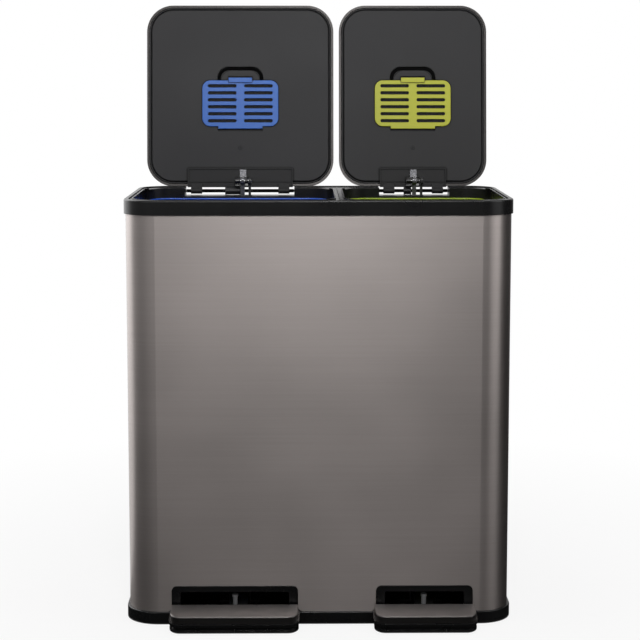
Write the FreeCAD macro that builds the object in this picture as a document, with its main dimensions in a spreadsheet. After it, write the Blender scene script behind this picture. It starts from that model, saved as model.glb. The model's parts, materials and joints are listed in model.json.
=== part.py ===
import FreeCAD, Part
import math
import os
import re

import Sketcher
from FreeCAD import Placement, Rotation, Vector

# A double recycling bin: one steel cabinet with two lift-out buckets, each under its own lid.
# Each lid is opened by its own pedal, through a lever and a push rod behind the bucket.
# Millimetres, +Z up, +X to the right as seen from the front, the front faces -Y.
# The origin is on the floor, at the middle of the cabinet's footprint.
# The model stands as photographed: both pedals pressed and both lids leaning back on their stops.

SIZES = {
    # cabinet: a rolled steel sleeve between a moulded collar and a moulded base
    "ShellWidth": 569.0,
    "ShellDepth": 319.0,
    "ShellCorner": 46.0,
    "ShellWall": 0.8,
    "ShellFoot": 8.0,
    "MouldedGap": 0.3,
    "Past": 1.0,  # how far a cut runs past the face that it opens
    "Bite": 0.5,  # how far an added layer reaches into the one it stands on
    # collar
    "CollarTop": 632.0,
    "CollarBand": 21.7,
    "CollarOverhang": 2.5,
    "CollarCap": 5.5,
    "CollarEdgeRound": 2.4,
    "CollarWall": 2.5,
    "OuterRim": 7.0,
    "DeckStep": 2.0,
    "RidgeWidth": 1.6,
    "WellDepth": 32.0,
    "LedgeDrop": 21.0,
    "LedgeWidth": 4.5,
    "LedgeThickness": 2.5,
    "OpeningInset": 3.0,
    "OpeningRear": 37.5,
    "RidgeEnd": 5.0,
    "SeatMargin": 2.0,
    "LeverSlotLeft": 14.5,
    "LeverSlotRight": 15.5,
    "LeverSlotRear": 7.5,
    "LeverSlotPlay": 0.8,
    # lids
    "LeftLidWidth": 304.0,
    "LidGap": 9.0,
    "LidMargin": 10.0,
    "LidFront": 13.0,
    "LidRear": 16.0,
    "LidHeight": 18.0,
    "LidSeat": 0.5,
    "LidCorner": 43.0,
    "LidWall": 0.8,
    "LidEdgeRound": 4.0,
    "HemWidth": 3.8,
    "HemThickness": 1.0,
    "GrooveWidth": 1.4,
    "GrooveDepth": 4.0,
    "PanelSlope": 3.9,
    "PanelProud": 1.3,
    "LinerPlate": 2.5,
    "LinerLeg": 1.4,
    "LidOpenAngle": 97.0,
    # hinge
    "HingeInset": 8.0,
    "HingeRise": 0.2,
    "PinRadius": 2.0,
    "PinHold": 8.0,
    "RunningFit": 0.08,
    "FixedFit": 0.05,
    "NotchMargin": 64.0,
    "NotchPlate": 3.0,
    "LeafReach": 37.0,
    "LeafEnd": 6.1,
    "LeafThickness": 3.0,
    "LeafSideGap": 2.5,
    "LeafRib": 1.0,
    "LeafRibWidth": 1.6,
    "FoldFront": 14.6,
    "FoldRear": 13.2,
    "FoldDepth": 0.8,
    "WebFront": 12.0,
    "WebFootFront": 4.3,
    "WebFootDrop": 1.6,
    "WebRise": 4.5,
    "KnuckleRadius": 4.75,
    "KnuckleWidth": 18.0,
    "KnuckleGap": 8.0,
    "DamperRadius": 6.4,
    "DamperWaist": 0.5,
    "DamperRim": 2.0,
    "LeftDamperLength": 25.0,
    "RightDamperLength": 12.0,
    "LeftMechanismShift": 4.5,
    "RightMechanismShift": 0.5,
    # lid lever and push rod
    "LeverRadius": 22.0,
    "LeverClosedAngle": 47.0,
    "LeverPinRadius": 2.0,
    "LeverEye": 4.5,
    "LeverFront": 22.2,
    "LeverRear": 7.6,
    "LeverPlate": 3.0,
    "LeftCheek": 8.4,
    "RightCheek": 4.4,
    "TabWidth": 10.6,
    "TabFront": 34.6,
    "TabRear": 22.4,
    "TabThickness": 1.4,
    "TabBandFront": 31.8,
    "TabBandRear": 28.4,
    "TabBandDepth": 0.6,
    "RodWidth": 6.5,
    "RodThickness": 4.0,
    "RodSideGap": 0.65,
    "RodSlotPlay": 1.2,
    "RodHeadWall": 2.0,
    "SlotPlay": 1.2,
    "RodEye": 5.8,
    "RodFoot": 3.0,
    "HookGap": 6.2,
    "HookThickness": 4.0,
    "HookWidth": 6.0,
    "HookLength": 32.0,
    # odour filter
    "GrilleWidth": 124.0,
    "GrilleDepth": 75.0,
    "GrilleCorner": 13.0,
    "GrilleThickness": 2.6,
    "GrilleGap": 0.8,
    "GrilleFromPin": 143.0,
    "GrilleProud": 1.3,
    "GrilleSeat": 1.8,
    "GrilleEdge": 0.7,
    "HingeTabWidth": 72.0,
    "HingeTabReach": 3.9,
    "LatchWidth": 38.4,
    "LatchFront": 4.4,
    "LatchRear": 3.6,
    "LatchProud": 1.2,
    "LatchDepth": 1.9,
    "LatchEdge": 1.0,
    "FilterBox": 8.0,
    "CavityInset": 2.5,
    "PadInset": 3.2,
    "PadDepth": 2.2,
    "ArchWidth": 75.6,
    "ArchRise": 22.6,
    "ArchInnerWidth": 62.4,
    "ArchInnerRise": 16.0,
    "ArchCorner": 18.0,
    "ArchDepth": 2.0,
    "FilterThickness": 9.5,
    "SlotWidth": 46.8,
    "SlotHeight": 5.5,
    "SlotPitch": 11.4,
    "SlotFromMiddle": 29.5,
    # pedals
    "PivotFromFront": 103.0,
    "PivotHeight": 32.0,
    "PedalTravel": 9.5,
    "RodArm": 199.0,
    "AxleRadius": 3.0,
    "RodPinRadius": 2.5,
    "LeverWidth": 28.0,
    "LeverSheet": 2.0,
    "LeverTopHeight": 40.5,
    "LeverWaist": 8.0,
    "LeverNose": 14.0,
    "LeverBend": 12.0,
    "LeverEnd": 7.0,
    "LeverEndRise": 6.5,
    "LeverEndDrop": 6.0,
    "BracketLength": 24.0,
    "BracketWing": 14.0,
    "BracketGap": 0.6,
    "EarTopLength": 14.0,
    "EarRise": 8.0,
    "ScrewSpacing": 14.0,
    "ScrewHole": 1.6,
    "ScrewRadius": 1.5,
    "ScrewHeadRadius": 3.2,
    "ScrewHead": 2.0,
    "AxleHeadRadius": 4.6,
    "AxleHead": 1.6,
    "RodPinHeadRadius": 3.8,
    "RodPinHead": 1.4,
    "PinPlay": 0.2,
    "StudRadius": 3.6,
    "StudHeadRadius": 4.6,
    "StudHeight": 16.6,
    "StudHead": 3.6,
    "StudFromAxle": 85.0,
    "LeftPedalWidth": 187.5,
    "RightPedalWidth": 148.5,
    "PedalFront": 148.8,
    "PedalRear": 107.5,
    "PedalTopHeight": 51.5,
    "PedalFootHeight": 26.0,
    "PedalCorner": 15.0,
    "TreadHeight": 11.0,
    "TreadWall": 0.9,
    "TreadEdge": 2.0,
    "PedalFit": 0.1,
    "CarrierLip": 2.2,
    "CarrierLipHeight": 4.7,
    "CarrierFoot": 1.2,
    "CarrierFootHeight": 3.4,
    "SoleFront": 2.0,
    "SoleDepth": 12.0,
    "SoleThickness": 1.2,
    # base
    "SkirtOverhang": 3.8,
    "SkirtTop": 20.0,
    "SkirtFoot": 1.5,
    "FloorBottom": 4.0,
    "FloorThickness": 3.0,
    "FootRadius": 11.0,
    "BezelBorder": 13.2,
    "BezelTop": 59.0,
    "BezelHead": 8.6,
    "BezelCorner": 8.0,
    "BezelThickness": 2.4,
    "LeftWindowWidth": 161.0,
    "RightWindowWidth": 117.5,
    "SleeveDepth": 6.0,
    "SleeveCorner": 4.0,
    "WindowCorner": 2.0,
    "BezelFoot": 4.0,
    "WebWidth": 7.0,
    "SkirtEdge": 1.6,
    "FootInset": 2.0,
    # buckets
    "BucketFoot": 66.0,
    "BucketWall": 2.2,
    "BucketTaper": 12.0,
    "RimPlay": 2.5,
    "RimThickness": 3.0,
    "WallPlay": 1.5,
    "RimEdge": 1.3,
    "BucketFloor": 2.5,
}

# Lengths worked out from the sizes above, as formulas of the sheet's names.
COLLAR_WIDTH = "(ShellWidth + 2 * CollarOverhang)"
COLLAR_DEPTH = "(ShellDepth + 2 * CollarOverhang)"
COLLAR_CORNER = "(ShellCorner + CollarOverhang)"
SHELL_TOP = "(CollarTop - CollarCap)"
PIN_Y = f"({COLLAR_DEPTH} / 2 - HingeInset)"
HINGE_DROP = "(HingeInset - HingeRise)"
PIN_Z = f"(CollarTop - {HINGE_DROP})"
NOTCH_FLOOR = f"({PIN_Z} - DamperRadius - MouldedGap)"
LID_DEPTH = f"({COLLAR_DEPTH} - LidFront - LidRear)"
LID_BACK = "(HingeInset - LidRear)"
LID_MIDDLE = f"({LID_BACK} - {LID_DEPTH} / 2)"
LID_BOTTOM = f"({HINGE_DROP} + LidSeat)"
LID_TOP = f"({LID_BOTTOM} + LidHeight)"
PANEL = f"({LID_BOTTOM} - PanelProud)"
GROOVE = f"({PANEL} + GrooveDepth)"
LEAF_FACE = f"({PANEL} - LeafThickness)"
OPENING_FRONT = f"(LidFront + OpeningInset - {COLLAR_DEPTH} / 2)"
OPENING_BACK = f"({COLLAR_DEPTH} / 2 - OpeningRear)"
OPENING_DEPTH = f"({OPENING_BACK} - {OPENING_FRONT})"
OPENING_MIDDLE = f"(({OPENING_BACK} + {OPENING_FRONT}) / 2)"
OPENING_CORNER = "(LidCorner - OpeningInset)"
LEDGE_TOP = "(CollarTop - LedgeDrop)"
LEVER_OPEN = "(LidOpenAngle - LeverClosedAngle)"
PIVOT_Y = f"(PivotFromFront - {COLLAR_DEPTH} / 2)"
ROD_Y = f"({PIVOT_Y} + RodArm * cos(PedalTravel / 2 * 1 deg))"
ROD_FOOT_Z = "(PivotHeight + RodArm * sin(PedalTravel / 2 * 1 deg))"
ROD_LENGTH = f"({PIN_Z} + LeverRadius * sin({LEVER_OPEN} * 1 deg) - {ROD_FOOT_Z})"
SLOT_FRONT = "(LeverRadius + LeverPinRadius + SlotPlay)"
SLOT_BACK = f"(LeverRadius * cos({LEVER_OPEN} * 1 deg) - LeverPinRadius - 0.5 * SlotPlay)"
FLOOR_TOP = "(FloorBottom + FloorThickness)"
PEDAL_TOP = "(PedalTopHeight - PivotHeight)"
PEDAL_BOTTOM = "(PedalFootHeight - PivotHeight)"
LEVER_TOP = "(LeverTopHeight - PivotHeight)"
FRONT_FACE = "(ShellDepth / 2)"


class Side:
    """The formulas of one compartment."""

    def __init__(self, name, width, centre):
        self.name = name.lower()
        self.lid_width = width
        self.centre = centre
        self.middle = f"({centre} + {name}MechanismShift)"
        self.notch = f"({width} - 2 * NotchMargin)"
        self.opening = f"({width} - 2 * OpeningInset)"
        self.damper = f"{name}DamperLength"
        self.pedal = f"{name}PedalWidth"
        self.window = f"{name}WindowWidth"
        self.bezel = f"({name}WindowWidth + 2 * BezelBorder)"
        self.shift = f"{name}MechanismShift"


RIGHT_LID = f"({COLLAR_WIDTH} - 2 * LidMargin - LidGap - LeftLidWidth)"
LEFT = Side("Left", "LeftLidWidth", f"(LidMargin + LeftLidWidth / 2 - {COLLAR_WIDTH} / 2)")
RIGHT = Side("Right", RIGHT_LID, f"({COLLAR_WIDTH} / 2 - LidMargin - {RIGHT_LID} / 2)")
SIDES = (LEFT, RIGHT)

doc = FreeCAD.newDocument("RecyclingBin")
sheet = doc.addObject("Spreadsheet::Sheet", "Dims")
for row, (alias, value) in enumerate(SIZES.items(), start=1):
    sheet.set(f"A{row}", alias)
    sheet.set(f"B{row}", str(value))
    sheet.setAlias(f"B{row}", alias)
doc.recompute()
probe = doc.addObject("App::FeaturePython", "Probe")
nodes = []


# ---------------------------------------------------------------- helpers


def cells(formula):
    """The formula with each size name turned into its cell of the sheet."""
    return re.sub(r"\b[A-Z][A-Za-z]+\b", r"Dims.\g<0>", formula)


def number(formula):
    """The formula's value now."""
    value = probe.evalExpression(cells(formula))
    return float(getattr(value, "Value", value))


def bind(item, prop, formula):
    item.setExpression(prop, cells(formula))


def place(item, x="0", y="0", z="0", axis=Vector(1, 0, 0), angle="0"):
    """Puts a sub-part at a point given by formulas, turned about one axis."""
    item.Placement = Placement(
        Vector(number(x), number(y), number(z)), Rotation(axis, number(angle))
    )
    bind(item, "Placement.Base.x", x)
    bind(item, "Placement.Base.y", y)
    bind(item, "Placement.Base.z", z)
    if angle != "0":
        bind(item, "Placement.Rotation.Angle", angle)


def new_body(label):
    body = doc.addObject("PartDesign::Body", "Body_" + label)
    body.Label = label
    nodes.append(body)
    return body


def new_sketch(body, plane, offset="0"):
    """A sketch on one of the body's origin planes, moved along the plane's normal."""
    sketch = body.newObject("Sketcher::SketchObject", "Sketch")
    support = [f for f in body.Origin.OriginFeatures if f.Role == plane][0]
    sketch.AttachmentSupport = [(support, "")]
    sketch.MapMode = "FlatFace"
    bind(sketch, "AttachmentOffset.Base.z", offset)
    return sketch


def measure(sketch, kind, *where):
    """A constraint whose value follows a formula, given last."""
    formula = where[-1]
    index = sketch.addConstraint(Sketcher.Constraint(kind, *where[:-1], number(formula)))
    bind(sketch, f"Constraints[{index}]", formula)


def pin_point(sketch, geometry, point, x, y):
    measure(sketch, "DistanceX", -1, 1, geometry, point, x)
    measure(sketch, "DistanceY", -1, 1, geometry, point, y)


def polygon(sketch, points):
    """A closed outline of straight lines through points given as pairs of formulas."""
    corners = [Vector(number(x), number(y), 0) for x, y in points]
    count = len(corners)
    first = sketch.GeometryCount
    for i in range(count):
        line = Part.LineSegment(corners[i], corners[(i + 1) % count])
        sketch.addGeometry(line)
    for i in range(count):
        follower = first + (i + 1) % count
        sketch.addConstraint(Sketcher.Constraint("Coincident", first + i, 2, follower, 1))
        pin_point(sketch, first + i, 1, *points[i])


def rectangle(sketch, left, right, bottom, top):
    polygon(sketch, [(left, bottom), (right, bottom), (right, top), (left, top)])


def circle(sketch, x, y, radius):
    centre = Vector(number(x), number(y), 0)
    index = sketch.addGeometry(Part.Circle(centre, Vector(0, 0, 1), number(radius)))
    measure(sketch, "Radius", index, radius)
    pin_point(sketch, index, 3, x, y)


def rounded(sketch, width, depth, radius, x="0", y="0", front_only=False):
    """A rectangle about (x, y) with four round corners, or with round corners at -y alone."""
    half_w = number(width) / 2
    half_d = number(depth) / 2
    r = number(radius)
    middle = Vector(number(x), number(y), 0)
    corners = [Vector(half_w, -half_d, 0), Vector(half_w, half_d, 0)]
    corners += [Vector(-half_w, half_d, 0), Vector(-half_w, -half_d, 0)]
    is_round = [True, not front_only, not front_only, True]
    ways = [Vector(1, 0, 0), Vector(0, 1, 0), Vector(-1, 0, 0), Vector(0, -1, 0)]
    lines = []
    arcs = []
    for i in range(4):
        start = corners[i - 1] + ways[i] * (r if is_round[i - 1] else 0)
        end = corners[i] - ways[i] * (r if is_round[i] else 0)
        lines.append(sketch.addGeometry(Part.LineSegment(middle + start, middle + end)))
        kind = "Vertical" if i % 2 else "Horizontal"
        sketch.addConstraint(Sketcher.Constraint(kind, lines[i]))
    for i in range(4):
        if not is_round[i]:
            arcs.append(None)
            continue
        centre = middle + corners[i] - ways[i] * r + ways[(i + 1) % 4] * r
        turn = Part.Circle(centre, Vector(0, 0, 1), r)
        start = (i - 1) * math.pi / 2
        arcs.append(sketch.addGeometry(Part.ArcOfCircle(turn, start, start + math.pi / 2)))
    for i in range(4):
        after = lines[(i + 1) % 4]
        if arcs[i] is None:
            sketch.addConstraint(Sketcher.Constraint("Coincident", lines[i], 2, after, 1))
            continue
        sketch.addConstraint(Sketcher.Constraint("Tangent", lines[i], 2, arcs[i], 1))
        sketch.addConstraint(Sketcher.Constraint("Tangent", arcs[i], 2, after, 1))
    made = [a for a in arcs if a is not None]
    for other in made[1:]:
        sketch.addConstraint(Sketcher.Constraint("Equal", made[0], other))
    measure(sketch, "Radius", made[0], radius)
    measure(sketch, "DistanceX", -1, 1, lines[1], 1, f"{x} + ({width}) / 2")
    measure(sketch, "DistanceX", -1, 1, lines[3], 1, f"{x} - ({width}) / 2")
    measure(sketch, "DistanceY", -1, 1, lines[0], 1, f"{y} - ({depth}) / 2")
    measure(sketch, "DistanceY", -1, 1, lines[2], 1, f"{y} + ({depth}) / 2")


def extrude(body, kind, sketch, length, both=False, backwards=False):
    before = body.Tip.Shape.Volume if kind == "Pocket" else 0
    feature = body.newObject("PartDesign::" + kind, kind)
    feature.Profile = sketch
    if both:
        feature.SideType = "Symmetric"
    feature.Reversed = backwards
    feature.Length = number(length)
    bind(feature, "Length", length)
    body.Tip = feature
    doc.recompute([sketch, feature])
    if kind == "Pocket" and not feature.Shape.Volume < before - 1e-6:
        raise RuntimeError(f"{body.Label}: a pocket cuts nothing")
    return feature


def pad(body, sketch, length, **options):
    return extrude(body, "Pad", sketch, length, **options)


def pocket(body, sketch, length, **options):
    return extrude(body, "Pocket", sketch, length, **options)


def slab(body, low, thickness, *outlines):
    """A flat layer from height low upwards; each outline is a set of rounded() arguments."""
    sketch = new_sketch(body, "XY_Plane", low)
    for outline in outlines:
        rounded(sketch, *outline)
    return pad(body, sketch, thickness)


def sink(body, low, depth, *outlines):
    """A flat recess from height low upwards."""
    sketch = new_sketch(body, "XY_Plane", low)
    for outline in outlines:
        rounded(sketch, *outline)
    return pocket(body, sketch, depth, backwards=True)


def block(body, x, y, z):
    """Adds a box between two limits on each axis, given as pairs of formulas."""
    sketch = new_sketch(body, "XY_Plane", z[0])
    rectangle(sketch, *x, *y)
    return pad(body, sketch, f"{z[1]} - ({z[0]})")


def cut_block(body, x, y, z):
    sketch = new_sketch(body, "XY_Plane", z[0])
    rectangle(sketch, *x, *y)
    return pocket(body, sketch, f"{z[1]} - ({z[0]})", backwards=True)


def revolve(body, profile):
    """Turns a profile of (along x, radius) points about the body's X axis."""
    sketch = new_sketch(body, "XZ_Plane")
    polygon(sketch, profile)
    feature = body.newObject("PartDesign::Revolution", "Revolution")
    feature.Profile = sketch
    feature.ReferenceAxis = (sketch, ["H_Axis"])
    feature.Angle = 360
    body.Tip = feature
    doc.recompute([sketch, feature])


def round_edges(body, radius, wanted, kind="Fillet"):
    """Rounds the edges of the body's last shape that the test picks out."""
    base = body.Tip
    names = [f"Edge{i}" for i, edge in enumerate(base.Shape.Edges, start=1) if wanted(edge)]
    if not names:
        raise RuntimeError(f"{body.Label}: no edge to round")
    feature = body.newObject("PartDesign::" + kind, kind)
    feature.Base = (base, names)
    bind(feature, "Radius" if kind == "Fillet" else "Size", radius)
    body.Tip = feature
    doc.recompute([feature])
    if not feature.isValid():
        raise RuntimeError(f"{body.Label}: an edge cannot be rounded")


def at_height(edge, height):
    box = edge.BoundBox
    return abs(box.ZMin - height) < 1e-3 and abs(box.ZMax - height) < 1e-3


def group(label, pieces):
    """Equal fasteners or feet in one node, as separate solids."""
    item = doc.addObject("Part::Compound", "Group_" + label)
    item.Label = label
    item.Links = pieces
    nodes.append(item)
    return item


def cylinder(radius, height, x, y, z):
    item = doc.addObject("Part::Cylinder", "Cylinder")
    bind(item, "Radius", radius)
    bind(item, "Height", height)
    place(item, x, y, z)
    return item


# ---------------------------------------------------------------- cabinet


def outer_shell():
    body = new_body("outer_shell")
    outer = ("ShellWidth", "ShellDepth", "ShellCorner")
    inner = ("ShellWidth - 2 * ShellWall", "ShellDepth - 2 * ShellWall", "ShellCorner - ShellWall")
    slab(body, "ShellFoot", f"{SHELL_TOP} - ShellFoot", outer, inner)
    for side in SIDES:
        # the front window under the pedal surround, open at the sleeve's lower edge
        sketch = new_sketch(body, "XZ_Plane")
        top = "(BezelTop - BezelHead + CollarWall + MouldedGap)"
        half = f"({side.window} / 2 + CollarWall + MouldedGap)"
        left = f"{side.centre} - {half}"
        right = f"{side.centre} + {half}"
        rectangle(sketch, left, right, "ShellFoot - Past", top)
        pocket(body, sketch, "ShellDepth / 2 + Past", backwards=True)
    for side in SIDES:
        # the rear notch behind the hinge
        sketch = new_sketch(body, "XZ_Plane")
        half = f"({side.notch} / 2 + PinHold + SeatMargin + MouldedGap)"
        left = f"{side.centre} - {half}"
        right = f"{side.centre} + {half}"
        bottom = f"{NOTCH_FLOOR} - NotchPlate - MouldedGap"
        rectangle(sketch, left, right, bottom, f"{SHELL_TOP} + Past")
        pocket(body, sketch, "ShellDepth / 2 + Past")


def opening_outline(side, grow="0"):
    width = f"({side.opening} + 2 * ({grow}))"
    depth = f"({OPENING_DEPTH} + 2 * ({grow}))"
    return (width, depth, f"({OPENING_CORNER} + {grow})", side.centre, OPENING_MIDDLE)


def collar_outline(shrink="0"):
    width = f"({COLLAR_WIDTH} - 2 * ({shrink}))"
    depth = f"({COLLAR_DEPTH} - 2 * ({shrink}))"
    return (width, depth, f"({COLLAR_CORNER} - ({shrink}))")


def top_collar():
    body = new_body("top_collar")
    low = "(CollarTop - CollarBand)"
    slab(body, low, "CollarBand", collar_outline())
    top = number("CollarTop")
    round_edges(body, "CollarEdgeRound", lambda edge: at_height(edge, top))
    # hollow underneath, between the outer wall and the wells of the two buckets
    wells = [opening_outline(side, "CollarWall") for side in SIDES]
    hollow = "CollarOverhang - MouldedGap"
    sink(body, low, "CollarBand - CollarCap", collar_outline(hollow), *wells)
    slab(body, "CollarTop - WellDepth", "WellDepth - CollarBand + Bite", *wells)
    for side in SIDES:
        sink(body, "CollarTop - WellDepth - Past", "WellDepth + 2 * Past", opening_outline(side))
    # the ledge that carries a bucket's rim
    for side in SIDES:
        rings = (opening_outline(side, "0.5 * CollarWall"), opening_outline(side, "-LedgeWidth"))
        slab(body, f"{LEDGE_TOP} - LedgeThickness", "LedgeThickness", *rings)
    # the top steps down inside the outer rim and leaves a ridge round each opening
    ridges = [opening_outline(side, "RidgeWidth") for side in SIDES]
    sink(body, "CollarTop - DeckStep", "DeckStep + Past", collar_outline("OuterRim"), *ridges)
    divider = f"({COLLAR_WIDTH} / 2 - LidMargin - {RIGHT_LID} - LidGap / 2)"
    edge = "0.5 * RidgeWidth"
    run = (f"{OPENING_FRONT} + OpeningInset", f"{OPENING_BACK} - OpeningInset")
    across = (f"{divider} - {edge}", f"{divider} + {edge}")
    block(body, across, run, ("CollarTop - DeckStep - Bite", "CollarTop"))
    # no ridge along the rear of an opening, where the lid's panel comes down
    for side in SIDES:
        half = f"({side.opening} / 2 - RidgeEnd)"
        x = (f"{side.centre} - {half}", f"{side.centre} + {half}")
        y = (f"{OPENING_BACK} - {OPENING_CORNER}", f"{OPENING_BACK} + RidgeWidth + Past")
        cut_block(body, x, y, ("CollarTop - DeckStep", "CollarTop + Past"))
    # solid hinge seats in the hollow, cut by the notches that the hinge leaves move in
    rear_wall = f"({COLLAR_DEPTH} / 2 - CollarOverhang)"
    for side in SIDES:
        half = f"({side.notch} / 2 + PinHold + SeatMargin)"
        x = (f"{side.centre} - {half}", f"{side.centre} + {half}")
        y = (OPENING_BACK, f"{rear_wall} + Past")
        block(body, x, y, (f"{NOTCH_FLOOR} - NotchPlate", f"{SHELL_TOP} + Past"))
    for side in SIDES:
        x = (f"{side.centre} - {side.notch} / 2", f"{side.centre} + {side.notch} / 2")
        y = (f"{OPENING_BACK} - CollarWall", f"{COLLAR_DEPTH} / 2 + Past")
        cut_block(body, x, y, (NOTCH_FLOOR, "CollarTop + Past"))
    # slot for the lever and the push rod, and the blind holes for the hinge pin
    for side in SIDES:
        x = (f"{side.middle} - LeverSlotLeft", f"{side.middle} + LeverSlotRight")
        front = f"{PIN_Y} - {SLOT_FRONT} - RodHeadWall - LeverSlotPlay"
        y = (front, f"{PIN_Y} - LeverSlotRear")
        cut_block(body, x, y, ("CollarTop - WellDepth - Past", f"{NOTCH_FLOOR} + Past"))
        sketch = new_sketch(body, "YZ_Plane", side.centre)
        circle(sketch, PIN_Y, PIN_Z, "PinRadius + FixedFit")
        pocket(body, sketch, f"{side.notch} + 2 * PinHold", both=True)


def base_tray():
    body = new_body("base_tray")
    skirt = ("ShellWidth + 2 * SkirtOverhang", "ShellDepth + 2 * SkirtOverhang")
    slab(body, "SkirtFoot", "SkirtTop - SkirtFoot", (*skirt, "ShellCorner + SkirtOverhang"))
    inset = "(ShellWall + MouldedGap + CollarWall)"
    inside = (f"ShellWidth - 2 * {inset}", f"ShellDepth - 2 * {inset}", f"ShellCorner - {inset}")
    sink(body, FLOOR_TOP, f"SkirtTop - {FLOOR_TOP} + Past", inside)
    sink(body, "SkirtFoot - Past", "FloorBottom - SkirtFoot + Past", inside)
    # groove that the steel sleeve stands in
    fit = "0.5 * MouldedGap"
    outer = (f"ShellWidth + 2 * {fit}", f"ShellDepth + 2 * {fit}", f"ShellCorner + {fit}")
    wall = f"(ShellWall + {fit})"
    inner = (f"ShellWidth - 2 * {wall}", f"ShellDepth - 2 * {wall}", f"ShellCorner - {wall}")
    sink(body, "ShellFoot", "SkirtTop - ShellFoot + Past", outer, inner)
    skirt_top = number("SkirtTop")
    skirt_x = number("(ShellWidth + SkirtOverhang) / 2")
    skirt_y = number("(ShellDepth + SkirtOverhang) / 2")
    skirt_corner = number("ShellCorner + SkirtOverhang / 2")

    def is_skirt_edge(edge):
        box = edge.BoundBox
        size = max(abs(box.Center.x) - skirt_x, abs(box.Center.y) - skirt_y)
        arc = edge.Curve.TypeId == "Part::GeomCircle"
        big = arc and edge.Curve.Radius > skirt_corner
        return at_height(edge, skirt_top) and (size > 0 or big)

    round_edges(body, "SkirtEdge", is_skirt_edge)
    for side in SIDES:
        # the surround: a plate in front of the sleeve, with webs down to the skirt
        height = "(BezelTop - SkirtTop + BezelFoot)"
        middle = f"(BezelTop - {height} / 2)"
        sketch = new_sketch(body, "XZ_Plane", f"{FRONT_FACE} + 0.1")
        rounded(sketch, side.bezel, height, "BezelCorner", side.centre, middle)
        pad(body, sketch, "BezelThickness")
        for sign in ("-", "+"):
            foot = f"({side.centre} {sign} {side.bezel} / 2)"
            sketch = new_sketch(body, "XZ_Plane", f"{FRONT_FACE} + 0.1")
            low = "SkirtTop - BezelFoot / 2"
            far = f"{foot} {sign} WebWidth"
            middle_x = f"{foot} {sign} WebWidth / 2"
            near_x = f"{foot} {sign} WebWidth / 7"
            web = [(foot, low), (far, low), (far, "SkirtTop"), (middle_x, "SkirtTop + WebWidth / 7")]
            web += [(near_x, "SkirtTop + WebWidth / 2"), (foot, "SkirtTop + WebWidth")]
            inner_x = f"({side.centre} {sign} ({side.bezel} / 2 - BezelCorner))"
            web += [(inner_x, "SkirtTop + WebWidth"), (inner_x, low)]
            polygon(sketch, web if sign == "+" else web[::-1])
            pad(body, sketch, "BezelThickness")
        # the sleeve that lines the window in the steel, then the window itself
        sketch = new_sketch(body, "XZ_Plane", f"{FRONT_FACE} + Past")
        sleeve = f"({side.window} + 2 * CollarWall)"
        rise = "(BezelTop - BezelHead + CollarWall - ShellFoot - BezelFoot)"
        sleeve_middle = f"ShellFoot + BezelFoot + {rise} / 2"
        rounded(sketch, sleeve, rise, "SleeveCorner", side.centre, sleeve_middle)
        pad(body, sketch, "SleeveDepth + Past + ShellWall", backwards=True)
        sketch = new_sketch(body, "XZ_Plane", f"{FRONT_FACE} + SkirtOverhang + Past")
        rise = "(BezelTop - BezelHead - SkirtTop)"
        rounded(sketch, side.window, rise, "WindowCorner", side.centre, f"SkirtTop + {rise} / 2")
        pocket(body, sketch, "SleeveDepth + SkirtOverhang + ShellWall + 4 * Past")
    # screw holes for the two pedal brackets
    sketch = new_sketch(body, "XY_Plane", FLOOR_TOP)
    for side in SIDES:
        for x, y in bracket_screw_places(side):
            circle(sketch, x, y, "ScrewHole")
    pocket(body, sketch, "FloorThickness + Past")


def rubber_feet():
    inset = "(ShellCorner + FootInset)"
    feet = []
    for sx in ("-", "+"):
        for sy in ("-", "+"):
            x = f"0 {sx} (ShellWidth / 2 - {inset})"
            y = f"0 {sy} (ShellDepth / 2 - {inset})"
            feet.append(cylinder("FootRadius", "FloorBottom", x, y, "0"))
    group("rubber_feet", feet)


# ---------------------------------------------------------------- pedal bearings

EAR_INSIDE = "(LeverWidth / 2 + BracketGap)"
WING = f"({EAR_INSIDE} + LeverSheet + BracketWing)"


def bracket_screw_places(side):
    wing_middle = f"({EAR_INSIDE} + LeverSheet + BracketWing / 2)"
    return [
        (f"{side.middle} {sx} {wing_middle}", f"{PIVOT_Y} {sy} ScrewSpacing / 2")
        for sx in ("-", "+")
        for sy in ("-", "+")
    ]


def pedal_bracket(side):
    """A U of sheet steel whose ears carry the pedal's axle."""
    body = new_body(f"{side.name}_pedal_bracket")
    half = "BracketLength / 2"
    block(body, (f"-{WING}", WING), (f"-{half}", half), ("0", "LeverSheet"))
    ear_top = f"(PivotHeight - {FLOOR_TOP} + EarRise)"
    for sign in ("-", "+"):
        x = f"0 {sign} ({EAR_INSIDE} + LeverSheet / 2)"
        sketch = new_sketch(body, "YZ_Plane", x)
        ear = [(f"-{half}", "Bite"), (half, "Bite")]
        ear += [("EarTopLength / 2", ear_top), ("-EarTopLength / 2", ear_top)]
        polygon(sketch, ear)
        pad(body, sketch, "LeverSheet", both=True)
    sketch = new_sketch(body, "YZ_Plane")
    circle(sketch, "0", f"PivotHeight - {FLOOR_TOP}", "AxleRadius + FixedFit")
    pocket(body, sketch, f"2 * {WING}", both=True)
    sketch = new_sketch(body, "XY_Plane", "LeverSheet")
    for x, y in bracket_screw_places(side):
        circle(sketch, f"{x} - {side.middle}", f"{y} - {PIVOT_Y}", "ScrewHole")
    pocket(body, sketch, "LeverSheet + Past")
    place(body, side.middle, PIVOT_Y, FLOOR_TOP)


def headed_pin(label, half_length, radius, head, head_length):
    """A plain shaft along X with a flat head beyond each end of its half length."""
    body = new_body(label)
    end = f"({half_length} + {head_length})"
    profile = [(f"-{end}", "0"), (end, "0"), (end, head), (half_length, head)]
    profile += [(half_length, radius), (f"-{half_length}", radius)]
    profile += [(f"-{half_length}", head), (f"-{end}", head)]
    revolve(body, profile)
    return body


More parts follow.
